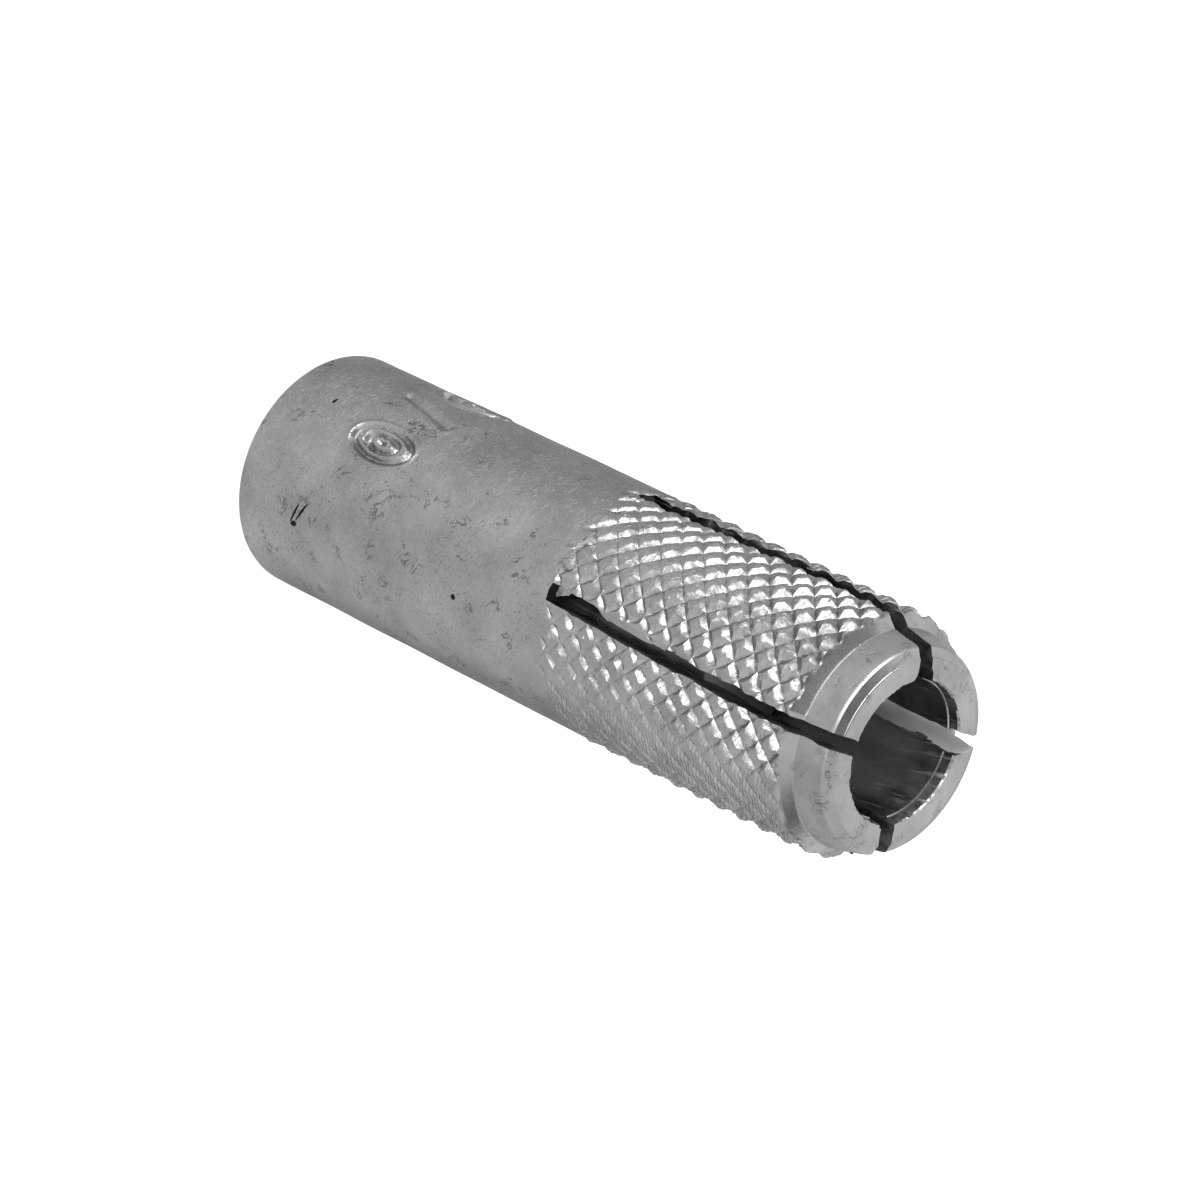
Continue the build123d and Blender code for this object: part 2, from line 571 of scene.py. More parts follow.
def bore_profile(bore):
    """Outline of the bore from the mouth down to the thread."""
    return [
        (bore.mouth_radius + 0.07 * MM, SLEEVE_LENGTH),
        (bore.mouth_radius, SLEEVE_LENGTH - MOUTH_BEVEL),
        (bore.throat_radius + 0.06 * MM, bore.throat_height + RING_BEVEL),
        (bore.throat_radius, bore.throat_height),
        (bore.throat_radius, bore.throat_height - 0.05 * MM),
        (bore.relief_radius, bore.throat_height - 0.13 * MM),
        (bore.bore_radius, bore.taper_foot),
        (bore.bore_radius, bore.thread_length + 0.2 * MM),
        (bore.minor_radius, bore.thread_length),
    ]


def knurl_wear(azimuth, height, knurl):
    """How much of a flank is steep, and how deep each set of grooves was pressed."""
    facing = np.cos(azimuth - knurl.sharp_side)
    sharp = rise(facing, 0.5, 0.45)
    upper = rise(height, knurl.foot, knurl.top - knurl.foot)
    crest = knurl.crest + knurl.crest_gain * upper * (0.6 + 0.4 * sharp)
    away = angle_between(azimuth, knurl.shallow_side)
    press = 1 - (1 - knurl.worn_press) * hump(away, math.radians(18))
    turned_over = rise(angle_between(azimuth, knurl.sharp_side), 0.35, 0.5)
    soft = knurl.soft_set + (1 - knurl.soft_set) * 0.8 * upper
    first = press * (1 - (1 - soft) * turned_over)
    second = press * (soft + (1 - soft) * turned_over)
    return crest, turned_over * (1 - upper), first, second


def knurl_drop(across, along, crest, arch, presses, crest_slope):
    """Depth below the tips in flank widths, at places in half pitches.

    Each flank is steep up to a ragged crest line, which is arched where arch is 1, and the worn
    tip rises gently above it.
    """
    first = 1 - np.abs(np.mod(across + along, 2) - 1)
    second = 1 - np.abs(np.mod(across - along, 2) - 1)
    first_crest = crest * (1 - arch * (1 - rise(second, 0, 0.55)))
    second_crest = crest * (1 - arch * (1 - rise(first, 0, 0.55)))
    first_drop = presses[0] * np.maximum(first_crest - first, 0)
    second_drop = presses[1] * np.maximum(second_crest - second, 0)
    tip = 1 - np.maximum(np.minimum(first, second), crest)
    return np.maximum(first_drop, second_drop) + crest_slope * tip * np.maximum(*presses)


def knurl_steps(knurl, sleeve, azimuth, height):
    """Place round and along the sleeve in half pitches."""
    across = (azimuth - knurl.first_angle) * knurl.count / math.pi
    return across, (height - (knurl.foot + knurl.run_in)) / knurl_pitch(knurl, sleeve)


def roll_knurl(obj, knurl, sleeve):
    """Presses the diamond relief into the knurled length."""
    places = vertex_array(obj)
    azimuth = np.arctan2(places[:, 1], places[:, 0])
    radius = radii(places)
    height = places[:, 2]
    band = (height > knurl.foot - knurl.lead + 0.01 * MM) & (height < knurl.top)
    band &= radius > knurl.edge_radius - 0.01 * MM
    across, along = knurl_steps(knurl, sleeve, azimuth, height)
    crest, arch, *presses = knurl_wear(azimuth, height, knurl)
    random = np.random.default_rng(7)
    crest += 0.06 * soft_noise(places, 2600, 3) + random.uniform(-0.06, 0.06, len(places))
    drop = knurl_drop(across, along, crest, arch, presses, knurl.crest_slope)
    drop += random.uniform(0.0, 0.08, len(places)) * (drop < 0.1)
    scallop = knurl.scallop * hump(np.degrees(azimuth), 13)
    scallop *= 0.5 - 0.5 * np.cos(math.pi * along)
    ragged = 0.3 * MM * soft_noise(places, 130, 3) + 0.16 * MM * soft_noise(places, 420, 4)
    first_row = knurl.foot + knurl.tilt * places[:, 0] / sleeve.radius - ragged
    fade = rise(height, first_row, 0.8 * MM)
    wear = rise(knurl.top - height, 0, 0.16 * MM)
    flank_width = knurl_pitch(knurl, sleeve) / math.sqrt(2)
    grooves = knurl.tip_radius - knurl.flank_slope * flank_width * drop
    grooves += knurl.roughening * soft_noise(places, 1800, 6) - scallop
    edge = knurl.edge_radius + 0.5 * (grooves - knurl.edge_radius)
    rolled = sleeve.radius + (grooves - sleeve.radius) * fade
    rolled = edge + (rolled - edge) * wear
    set_radii(obj, places, np.where(band, rolled, radius) / radius)


def fold_grooves(obj, knurl, sleeve):
    """Splits the knurl's four-sided faces along the grooves, so that the grooves stay sharp."""
    mesh = bmesh.new()
    mesh.from_mesh(obj.data)
    for face in list(mesh.faces):
        middle = face.calc_center_median()
        if len(face.verts) != 4 or not knurl.foot - knurl.lead < middle.z < knurl.top:
            continue
        if middle.to_2d().length < sleeve.radius - 0.45 * MM:
            continue
        azimuth = math.atan2(middle.y, middle.x)
        across, along = knurl_steps(knurl, sleeve, azimuth, middle.z)
        rising = (math.floor(across) + math.floor(along)) % 2 == 0
        turn = Vector((-middle.y, middle.x, 0)).normalized()
        sign = 1 if rising else -1
        ends = sorted(face.verts, key=lambda v: (v.co - middle).dot(turn) * sign + v.co.z)
        bmesh.utils.face_split(face, ends[0], ends[-1])
    mesh.to_mesh(obj.data)
    mesh.free()


def even_out(obj, sleeve, bore):
    """Gives the plain shank and the nose a soft unevenness, and the mouth a ragged edge."""
    places = vertex_array(obj)
    radius = radii(places)
    outside = radius > 4.9 * MM
    inside_foot = rise(places[:, 2], 0.3 * MM, 0.8 * MM)
    change = sleeve.waviness * soft_noise(places, 160, 11) * outside * inside_foot
    mouth = (places[:, 2] > SLEEVE_LENGTH - 0.01 * MM) & (radius < bore.mouth_radius + 0.1 * MM)
    random = np.random.default_rng(12)
    rag = 0.03 * MM * soft_noise(places, 900, 13) + random.uniform(-0.03, 0.03, len(places)) * MM
    change += mouth * rag
    set_radii(obj, places, 1 + change / radius)


def saw_floor(slot, sleeve, reach):
    """Height of a slot's floor above its start, at a distance from the sleeve's axis."""
    surface = math.sqrt(slot.saw_radius**2 - (slot.saw_reach - sleeve.radius) ** 2)
    return surface - math.sqrt(slot.saw_radius**2 - (slot.saw_reach - reach) ** 2)


def slot_matrix(cut):
    """Place of a slot: X outwards, Y across the slot and Z up, leaning about its middle height."""
    middle = (cut.start + SLEEVE_LENGTH) / 2
    return (
        Matrix.Translation((0, 0, middle))
        @ Matrix.Rotation(math.radians(cut.direction), 4, "Z")
        @ Matrix.Translation((0, -cut.shift, 0))
        @ Matrix.Rotation(-math.radians(cut.lean), 4, "X")
        @ Matrix.Translation((0, 0, cut.start - middle))
    )


def into_slot(places, cut):
    """The same places in a slot's own axes."""
    back = np.array(slot_matrix(cut).inverted())
    return places @ back[:3, :3].T + back[:3, 3]


def turned_wall(cut, bore, far, reach, height):
    """How far a slot's walls stand in or out where they aren't parallel to its middle."""
    out = reach - 4.2 * MM
    low = math.tan(math.radians(cut.low_turn)) * np.minimum(out, 2.2 * MM)
    near_nose = rise(height, bore.throat_height, 0.3 * MM)
    high = -math.tan(math.radians(cut.high_turn)) * np.minimum(out, 1.1 * MM)
    high *= np.where(out < 0, near_nose, 1.0)
    return np.where(far, low, high)


def bow_offset(cut, height):
    """How far a slot is bowed sideways, at heights above its start."""
    share = np.clip(height / (SLEEVE_LENGTH - cut.start), 0, 1)
    return cut.bow * np.sin(math.pi * share**1.3)


def raise_burrs(obj, slot, sleeve, knurl):
    """Smears the knurl and pushes up a broken burr along each slot, before it is cut."""
    places = vertex_array(obj)
    radius = radii(places)
    change = np.zeros(len(places))
    for index, cut in enumerate(SLOTS):
        own = into_slot(places, cut)
        below_nose = own[:, 2] < 0.93 * (SLEEVE_LENGTH - cut.start)
        beside = np.abs(own[:, 1] - bow_offset(cut, own[:, 2])) - slot.width / 2
        broken = np.clip(0.3 + soft_noise(places, 700, 20 + index), 0, 1)
        here = (own[:, 0] > 0) & (own[:, 2] > 0) & (radius > 5 * MM)
        near = hump(beside - 0.05 * MM, 0.13 * MM)
        change += slot.burr * near * broken * here * below_nose
        knurled = here & (places[:, 2] < knurl.top - 0.1 * MM)
        smear = slot.smear * hump(np.maximum(beside, 0), 0.18 * MM)
        change += smear * knurled * (sleeve.radius + 0.02 * MM - radius)
    set_radii(obj, places, 1 + change / radius)


def ledge_shape(slot, sleeve, cut, reach, height):
    """How far the far wall stands in at each place, under the rim first and then all the way."""
    grown = rise(height, slot.ledge_foot, 1.4 * MM)
    worn = 1 - 0.45 * rise(height, slot.ledge_end, 3 * MM)
    under_rim = 1 - rise(height, slot.ledge_end, 2.5 * MM)
    above = reach > sleeve.radius - slot.ledge_depth
    return cut.ledge * grown * worn * (1 - under_rim * above)


def saw_rows(slot, sleeve, bore):
    """Distances from the axis of a saw cut's mesh rows, close together where its walls bend."""
    mouth = bore.throat_radius
    near_mouth = [mouth + step * MM for step in (-0.9, -0.3, -0.05, 0.08, 0.2, 0.35, 0.6, 1.1)]
    shelf = sleeve.radius - slot.ledge_depth
    near_rim = [shelf + step * MM for step in (-0.6, -0.02, 0.02, 0.17, 0.5)]
    return [mouth / 2] + near_mouth + near_rim + [sleeve.radius + slot.overrun]


def slot_cutter(slot, cut, sleeve, bore, seed):
    """Saw cut in its own axes, with a floor on the saw's arc and uneven walls."""
    rows = saw_rows(slot, sleeve, bore)
    grid = {"x_subdivisions": len(rows) - 1, "y_subdivisions": SAW_ROWS, "size": 1}
    upright = (math.pi / 2, 0, 0)
    cutter = added("saw_cut", bpy.ops.mesh.primitive_grid_add, rotation=upright, **grid)
    bpy.ops.object.transform_apply(location=False, rotation=True, scale=False)
    places = vertex_array(cutter)
    reach = np.interp(places[:, 0] + 0.5, np.linspace(0, 1, len(rows)), rows)
    floor = np.array([saw_floor(slot, sleeve, r) for r in reach]) + cut.rim
    share = places[:, 2] + 0.5
    wall = np.full(len(places), -slot.width / 2)
    set_vertices(cutter, np.stack((reach, wall, floor + share * (SLEEVE_LENGTH - floor)), axis=1))
    with edit_mode(cutter):
        select_whole()
        bpy.ops.mesh.extrude_region_move(TRANSFORM_OT_translate={"value": (0, slot.width, 0)})
        mesh = bmesh.from_edit_mesh(cutter.data)
        for face in mesh.faces:
            middle = face.calc_center_median()
            lowest = saw_floor(slot, sleeve, middle.x) + cut.rim
            across = max(edge.calc_length() for edge in face.edges) > slot.width * 0.99
            low = middle.z < lowest + 0.05 * MM and rows[0] < middle.x < rows[-1]
            face.select_set(across and low and abs(middle.y) < 0.01 * MM)
        bmesh.update_edit_mesh(cutter.data)
        bpy.ops.mesh.extrude_region_move(TRANSFORM_OT_translate={"value": (0, 0, -cut.rim)})
        bpy.ops.transform.resize(value=(1, 0.2, 1), center_override=(0, 0, 0))
        face_outwards()
    shape_walls(cutter, slot, cut, sleeve, bore, seed)
    return cutter


def inner_rounding(cut, bore, reach, height):
    """How far a slot's wall curves away where it meets the bore."""
    taper = (height - bore.taper_foot) / (bore.throat_height - bore.taper_foot)
    wall = bore.bore_radius + (bore.relief_radius - bore.bore_radius) * np.clip(taper, 0, 1)
    depth = np.clip((wall + cut.inner_round - reach) / cut.inner_round, 0, 1)
    return cut.inner_round * (1 - np.sqrt(1 - depth**2))


def shape_walls(cutter, slot, cut, sleeve, bore, seed):
    """Bows and roughens both walls of a slot cutter, adds the ledge and numbers the materials."""
    places = vertex_array(cutter)
    far = places[:, 1] < 0
    reach = places[:, 0]
    height = places[:, 2] + cut.start
    coarse, fine = soft_noise(places, 500, seed), soft_noise(places, 1500, seed + 9)
    rough = slot.waviness * (coarse + 0.6 * fine)
    random = np.random.default_rng(seed)
    rough += random.uniform(-slot.jag, slot.jag, len(places))
    rounding = inner_rounding(cut, bore, reach, height)
    rounding = np.where(far, -np.minimum(rounding, 0.12 * MM), rounding)
    places[:, 1] += bow_offset(cut, places[:, 2]) + rough + rounding
    places[:, 1] += far * ledge_shape(slot, sleeve, cut, reach, height)
    places[:, 1] += turned_wall(cut, bore, far, reach, height)
    set_vertices(cutter, places)
    give_material(cutter, sleeve_materials())
    middles = np.array([(0, 0, face.center.z) for face in cutter.data.polygons])
    ragged_edge = bore.relief_radius + (0.25 + 0.2 * soft_noise(middles, 900, seed + 40)) * MM
    for face, edge in zip(cutter.data.polygons, ragged_edge):
        on_ledge = cut.ledge and face.center.y < 0 and face.center.z > 2 * MM
        if on_ledge and abs(face.normal.x) > 0.6:
            face.material_index = ZINC
        else:
            face.material_index = BARE if face.center.x < edge else cut.material
    cutter.data.transform(slot_matrix(cut))
    cutter.data.update()


def chip(slot, cut, sleeve):
    """Shelf of steel that the saw left at the start of a slot, widest beside the slot's end."""
    block = added("chip", bpy.ops.mesh.primitive_cube_add, size=1)
    with edit_mode(block):
        bpy.ops.mesh.subdivide(number_cuts=CHIP_CUTS)
    places = vertex_array(block) + 0.5
    depth, across, share = places[:, 0], places[:, 1], places[:, 2]
    inner_edge = (0.12 - 0.4 * share) * MM
    outer_edge = -slot.width / 2 - 0.4 * MM
    places[:, 0] = sleeve.radius - 0.36 * MM - (1 - depth) * 0.8 * MM
    places[:, 1] = outer_edge + across * (inner_edge - outer_edge)
    places[:, 2] = (0.24 + 0.88 * share) * MM
    random = np.random.default_rng(4)
    set_vertices(block, places + random.uniform(-0.03, 0.03, places.shape) * MM)
    block.data.transform(slot_matrix(cut))
    give_material(block, sleeve_materials())
    return block


def refine_shank(obj, sleeve, first, last):
    """Splits the shank's stamped stretch finely between two azimuths in degrees."""
    low, high = STAMPED
    with edit_mode(obj):
        for cuts, only_upright in SHANK_CUTS:
            bpy.ops.mesh.select_mode(type="EDGE")
            bpy.ops.mesh.select_all(action="DESELECT")
            mesh = bmesh.from_edit_mesh(obj.data)
            for edge in mesh.edges:
                middle = (edge.verts[0].co + edge.verts[1].co) / 2
                along = abs(edge.verts[0].co.z - edge.verts[1].co.z)
                azimuth = math.degrees(math.atan2(middle.y, middle.x))
                inside = low < middle.z < high and first < azimuth < last
                outside = middle.to_2d().length > sleeve.radius - 0.2 * MM
                edge.select_set(inside and outside and (along > 0.5 * MM or not only_upright))
            bmesh.update_edit_mesh(obj.data)
            bpy.ops.mesh.subdivide(number_cuts=cuts)
        bpy.ops.mesh.select_mode(type="VERT")


def line_relief(distance, half_width, depth, lip):
    """Relief across a stamped line: its bed, and the lips pushed up beside it."""
    lips = lip * hump(np.abs(distance) - 2.1 * half_width, 0.75 * half_width)
    return lips - depth * hump(distance, half_width)


def ring_distance(across, along, half_width, half_height):
    """Distance from the line of an upright oval ring."""
    reach = np.sqrt((across / half_width) ** 2 + (along / half_height) ** 2) + 1e-6
    steepness = np.sqrt((across / half_width**2) ** 2 + (along / half_height**2) ** 2) + 1e-3
    return (reach - 1) * reach / steepness


def stamp_signs(obj, stamp, sleeve):
    """Presses two rings and a slanted bar into the shank."""
    azimuths = [centre for centre, height in RING_CENTRES]
    refine_shank(obj, sleeve, min(azimuths) - 15, max(azimuths) + 15)
    places = vertex_array(obj)
    radius = radii(places)
    azimuth = np.degrees(np.arctan2(places[:, 1], places[:, 0]))
    arc = math.radians(1) * sleeve.radius
    change = np.zeros(len(places))
    uneven = 1 + 0.3 * soft_noise(places, 500, 31)
    for centre, height in RING_CENTRES:
        across = (np.mod(azimuth - centre + 180, 360) - 180) * arc
        along = places[:, 2] - height
        for share in (1.0, 0.52):
            away = ring_distance(across, along, share * stamp.ring_width, share * stamp.ring_height)
            change += line_relief(away, stamp.groove, stamp.depth, stamp.lip) * uneven
        dot = np.hypot(across, along)
        change += line_relief(dot, 1.2 * stamp.groove, 0.7 * stamp.depth, stamp.lip)
    start, end = (np.array((a * arc, h)) for a, h in BAR_ENDS)
    offset = np.stack((azimuth * arc, places[:, 2]), axis=1) - start
    bar = np.linalg.norm(end - start)
    run = np.clip(offset @ (end - start) / bar, 0, bar)
    away = np.linalg.norm(offset - np.outer(run / bar, end - start), axis=1)
    change += line_relief(away, 1.7 * stamp.groove, stamp.bar_depth, 0.5 * stamp.lip)
    low, high = STAMPED
    shank = (places[:, 2] > low + 0.1 * MM) & (places[:, 2] < high - 0.1 * MM) & (radius > 6 * MM)
    set_radii(obj, places, 1 + change * shank / radius)


def pit_cutter(sleeve):
    """All deep nicks as flattened balls in one object."""
    balls = []
    for pit in PITS:
        ball = added("nick", bpy.ops.mesh.primitive_ico_sphere_add, subdivisions=2, radius=1)
        shape = Matrix.Diagonal((PIT_DEPTH, pit.width / 2, pit.length / 2, 1))
        turn = Matrix.Rotation(math.radians(pit.turn), 4, "X")
        lift = Matrix.Translation((sleeve.radius, 0, pit.height))
        around = Matrix.Rotation(math.radians(pit.azimuth), 4, "Z")
        ball.data.transform(around @ lift @ turn @ shape)
        give_material(ball, sleeve_materials())
        for face in ball.data.polygons:
            face.material_index = BARE
        balls.append(ball)
    for ball in balls:
        ball.select_set(True)
    bpy.ops.object.join()
    return bpy.context.object


def bare_bore(obj, bore):
    """Gives the plain and tapered bore the bare steel, but not its bright ring and mouth."""
    for face in obj.data.polygons:
        centre = face.center
        inside = centre.to_2d().length < bore.bore_radius + 0.02 * MM
        ring = bore.throat_height - 0.02 * MM < centre.z < bore.throat_height + RING_BEVEL
        plain = bore.thread_length + 0.2 * MM < centre.z < SLEEVE_LENGTH - MOUTH_BEVEL
        face.material_index = BARE if inside and plain and not ring else ZINC


def thread_cutter(bore):
    """Helical ridge of the internal thread, run out below the foot."""
    half = bore.pitch / 2 * 0.94
    tip = bore.pitch * 0.08
    inner = bore.minor_radius - 0.1 * MM
    low = -bore.pitch
    outline = [
        Vector((inner, 0, low - half)),
        Vector((bore.major_radius, 0, low - tip)),
        Vector((bore.major_radius, 0, low + tip)),
        Vector((inner, 0, low + half)),
    ]
    cutter = chain("thread_cutter", outline)
    bpy.ops.mesh.edge_face_add()
    select_whole()
    bpy.ops.mesh.delete(type="ONLY_FACE")
    pick(cutter)
    bpy.ops.object.modifier_add(type="SCREW")
    screw = cutter.modifiers[-1]
    screw.steps = THREAD_STEPS
    screw.render_steps = THREAD_STEPS
    screw.screw_offset = bore.pitch
    screw.iterations = int(bore.thread_length / bore.pitch) + 1
    bpy.ops.object.modifier_apply(modifier=screw.name)
    with edit_mode(cutter):
        bpy.ops.mesh.select_all(action="DESELECT")
        bpy.ops.mesh.select_mode(type="EDGE")
        bpy.ops.mesh.select_non_manifold()
        bpy.ops.mesh.edge_face_add()
        bpy.ops.mesh.select_mode(type="VERT")
        face_outwards()
    return cutter


def hold_inside(obj):
    """Keeps every place within the CAD sleeve's radius."""
    places = vertex_array(obj)
    gap = 0.003 * MM
    largest = SLEEVE_HIGH.x - gap
    set_radii(obj, places, np.minimum(1, largest / np.maximum(radii(places), MM)))


def build_sleeve(scene):
    """The whole sleeve as one closed mesh."""
    sleeve, knurl, nose = scene.anchor_sleeve, scene.anchor_knurl, scene.anchor_nose
    bore, slot = scene.anchor_bore, scene.anchor_slot
    profile = shank_profile(sleeve, knurl, bore) + knurl_profile(knurl, sleeve)
    profile += nose_profile(knurl, nose, bore) + bore_profile(bore)
    columns = 2 * knurl.count * knurl.steps
    obj = turned("finished_sleeve", profile, columns, knurl.first_angle)
    give_material(obj, sleeve_materials())
    bare_bore(obj, bore)
    roll_knurl(obj, knurl, sleeve)
    raise_burrs(obj, slot, sleeve, knurl)
    fold_grooves(obj, knurl, sleeve)
    even_out(obj, sleeve, bore)
    stamp_signs(obj, scene.anchor_stamp, sleeve)
    hold_inside(obj)
    combine(obj, thread_cutter(bore), "DIFFERENCE")
    for index, cut in enumerate(SLOTS):
        combine(obj, slot_cutter(slot, cut, sleeve, bore, index + 1), "DIFFERENCE")
    combine(obj, chip(slot, SLOTS[0], sleeve), "UNION")
    combine(obj, pit_cutter(sleeve), "DIFFERENCE")
    pick(obj)
    bpy.ops.object.shade_smooth_by_angle(angle=SLEEVE_CREASE)
    return obj


# Plug


def build_plug(plug):
    """Turned plug with fine edge rounding, in the CAD plug's box."""
    radius = PLUG_HIGH.x
    foot, top = PLUG_LOW.z, PLUG_HIGH.z
    cone_foot = top - plug.cone_length
    fine = 0.05 * MM
    profile = [
        (0.0, foot),
        (radius - plug.edge, foot),
        (radius - fine, foot + plug.edge - fine),
        (radius, foot + plug.edge),
        (radius, cone_foot),
        (radius - fine, cone_foot + 2 * fine),
        (plug.tip_radius + fine, top - 3 * fine),
        (plug.tip_radius, top - fine),
        (plug.tip_radius - 2 * fine, top),
        (0.0, top),
    ]
    obj = turned("finished_plug", profile, PLUG_COLUMNS, 0.0)
    bpy.ops.object.shade_smooth_by_angle(angle=PLUG_CREASE)
    return obj


# Materials


def grey(level):
    """Opaque grey of one level."""
    return (level, level, level, 1.0)


def shade(colour, factor=1.0):
    """Colour made lighter or darker by a factor."""
    return (*(min(1.0, factor * part) for part in colour), 1.0)


class Nodes:
    """Adds nodes to one tree. A value is a plain one or the output of another node."""

    def __init__(self, tree):
        self.tree = tree

    def feed(self, socket, value):
        """Links a socket to an output, or sets it to a plain value."""
        if isinstance(value, bpy.types.NodeSocket):
            self.tree.links.new(value, socket)
        else:
            socket.default_value = value

    def add(self, kind, inputs, **values):
        """Outputs of a new node with its settings and its inputs."""
        node = self.tree.nodes.new("ShaderNode" + kind)
        for key, value in values.items():
            setattr(node, key, value)
        for key, value in inputs.items():
            self.feed(node.inputs[key], value)
        return node.outputs

    def noise(self, vector, scale, detail=3.0, roughness=0.5, distortion=0.0):
        """Noise at a scale in features to the metre."""
        inputs = {"Vector": vector, "Scale": scale, "Detail": detail}
        inputs |= {"Roughness": roughness, "Distortion": distortion}
        return self.add("TexNoise", inputs)["Fac"]

    def rings(self, vector, scale, **inputs):
        """Waves up the sleeve's axis."""
        inputs = {"Vector": vector, "Scale": scale, "Detail": 2.0} | inputs
        return self.add("TexWave", inputs, wave_type="BANDS", bands_direction="Z")["Fac"]

    def ramp(self, factor, *stops):
        """Grey ramp through (place, level) stops."""
        node = self.tree.nodes.new("ShaderNodeValToRGB")
        elements = node.color_ramp.elements
        elements[0].position = stops[0][0]
        elements[1].position = stops[-1][0]
        for place, level in stops[1:-1]:
            elements.new(place)
        for element, (place, level) in zip(elements, stops):
            element.color = grey(level)
        self.feed(node.inputs["Fac"], factor)
        return node.outputs["Color"]

    def maths(self, operation, *values):
        """Math node on one or two values."""
        inputs = dict(enumerate(values))
        return self.add("Math", inputs, operation=operation)["Value"]

    def times(self, first, *others):
        """Product of two or more values."""
        for other in others:
            first = self.maths("MULTIPLY", first, other)
        return first

    def vector_maths(self, operation, inputs):
        """Outputs of a vector math node."""
        return self.add("VectorMath", inputs, operation=operation)

    def mix(self, factor, first, second):
        """Colour between two. They are the mix node's inputs 6 and 7."""
        inputs = {"Factor": factor, 6: first, 7: second}
        return self.add("Mix", inputs, data_type="RGBA")[2]

    def bump(self, height, distance, strength, **under):
        """Bump from a height, on top of an earlier one that is given as Normal."""
        inputs = {"Strength": strength, "Distance": distance, "Height": height} | under
        return self.add("Bump", inputs)["Normal"]

    def parts(self, vector):
        """X, Y and Z of a vector."""
        return self.add("SeparateXYZ", {"Vector": vector})

    def place(self):
        """Object coordinates."""
        return self.add("TexCoord", {})["Object"]

    def around_and_up(self, place):
        """Distance round the sleeve and height along it, as flat coordinates in metres."""
        parts = self.parts(place)
        turn = self.maths("ARCTAN2", parts["Y"], parts["X"])
        arc = self.times(turn, PATTERN_RADIUS)
        return self.add("CombineXYZ", {"X": arc, "Y": parts["Z"]})["Vector"]

    def warped(self, vector, scale, distance):
        """The same coordinates, moved about by soft noise."""
        inputs = {"Vector": vector, "Scale": scale, "Detail": 2.0}
        noise = self.add("TexNoise", inputs)["Color"]
        push = self.vector_maths("SCALE", {0: noise, 3: distance})["Vector"]
        return self.vector_maths("ADD", {0: vector, 1: push})["Vector"]

    def stretched(self, flat, turn, along, across):
        """Flat coordinates stretched in one direction and across it."""
        rotation = (0, 0, math.radians(turn))
        inputs = {"Vector": flat, "Rotation": rotation, "Scale": (along, across, 1)}
        return self.add("Mapping", inputs, vector_type="TEXTURE")["Vector"]

    def streaks(self, flat, turn, along, across, low, high):
        """0 to 1 in ragged streaks of one direction, where a stretched noise is high."""
        noise = self.noise(self.stretched(flat, turn, along, across), 1.0, roughness=0.55)
        return self.ramp(noise, (low, 0.0), (high, 1.0))

    def hairs(self, vector, scale, width, mask):
        """0 to 1 along thin curved hair lines, broken up by a mask."""
        noise = self.noise(vector, scale, detail=4, roughness=0.68, distortion=0.4)
        away = self.maths("ABSOLUTE", self.maths("SUBTRACT", noise, 0.5))
        return self.times(self.ramp(away, (0.3 * width, 1.0), (width, 0.0)), mask)


class Surface(Nodes):
    """New material, whose shader has its constants set on its own sockets."""

    def __init__(self, name, constants):
        self.material = bpy.data.materials.new(name)
        self.material.use_nodes = True
        super().__init__(self.material.node_tree)
        self.finish(constants)

    def finish(self, inputs):
        """Feeds the shader and returns the material."""
        shader = self.tree.nodes["Principled BSDF"]
        for name, value in inputs.items():
            self.feed(shader.inputs[name], value)
        return self.material


def zinc_material(finish):
    """Dull bright zinc: soft clouds, fine frost, ragged dark marks, pale streaks and ripples."""
    zinc = Surface("zinc_plating", {"Metallic": 1.0})
    place = zinc.place()
    height = zinc.parts(place)["Z"]
    flat = zinc.warped(zinc.around_and_up(place), 900, 0.6 * MM)
    above_foot = zinc.maths("GREATER_THAN", height, FOOT_FACE)
    plain = zinc.times(zinc.maths("LESS_THAN", height, SHOULDER), above_foot)
    patches = zinc.ramp(zinc.noise(place, 210, detail=2), (0.42, 0.2), (0.6, 1.0))
    clouds = zinc.noise(place, 330, detail=4, roughness=0.55)
    frost = zinc.noise(place, 5200, roughness=0.6)
    frost = zinc.mix(zinc.maths("MAXIMUM", plain, 0.25), grey(0.5), frost)
    tone = zinc.maths("ADD", zinc.times(frost, 0.35), clouds)
    tone = zinc.ramp(tone, (0.48, 0.0), (0.86, 1.0))
    colour = zinc.mix(tone, shade(finish.zinc, 0.82), shade(finish.zinc, 1.16))
    dark = dark_marks(zinc, place, flat, height, plain, patches)
    colour = zinc.mix(zinc.times(dark, 0.8), colour, shade(finish.zinc_dark))
    pale = zinc.times(zinc.streaks(flat, -20, 0.7 * MM, 0.08 * MM, 0.6, 0.72), plain)
    colour = zinc.mix(zinc.times(pale, 0.35), colour, shade(finish.zinc, 1.3))
    ripples = zinc.streaks(flat, 60, 0.5 * MM, 0.13 * MM, 0.4, 0.7)
    soft_clouds = zinc.times(clouds, zinc.maths("MAXIMUM", plain, 0.45))
    relief = zinc.bump(soft_clouds, 0.035 * MM, 0.7)
    relief = zinc.bump(frost, 0.0024 * MM, 0.8, Normal=relief)
    relief = zinc.bump(zinc.times(ripples, patches, plain), 0.012 * MM, 0.7, Normal=relief)
    relief = zinc.bump(zinc.maths("SUBTRACT", pale, dark), 0.015 * MM, 0.8, Normal=relief)
    relief = zinc.bump(knurl_ribs(zinc, place, height), 0.028 * MM, 1.0, Normal=relief)
    rough = zinc.ramp(frost, (0.3, 0.22), (0.7, 0.34))
    return zinc.finish({"Base Color": colour, "Roughness": rough, "Normal": relief})


